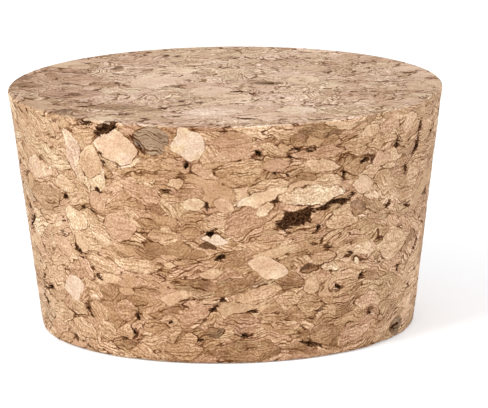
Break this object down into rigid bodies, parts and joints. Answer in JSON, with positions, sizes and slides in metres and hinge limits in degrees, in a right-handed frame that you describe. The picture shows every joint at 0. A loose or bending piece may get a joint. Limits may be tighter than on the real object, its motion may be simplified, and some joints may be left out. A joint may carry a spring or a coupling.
{
  "type": "cork stopper",
  "caption": "Tapered round stopper of bonded cork granules, pushed narrow end first into the neck of a jar, flask or bottle to close it.",
  "frame": {"origin": "centre of the narrow foot's flat face", "axes": "+Z along the stopper's axis, from the narrow foot to the wide top; -Y towards the bark pocket's side, the front"},
  "size_m": [0.036, 0.036, 0.02],
  "materials": {
    "cork": "matte bonded cork granules"
  },
  "bodies": {
    "root": {"stopper": "cork"}
  },
  "joints": []
}
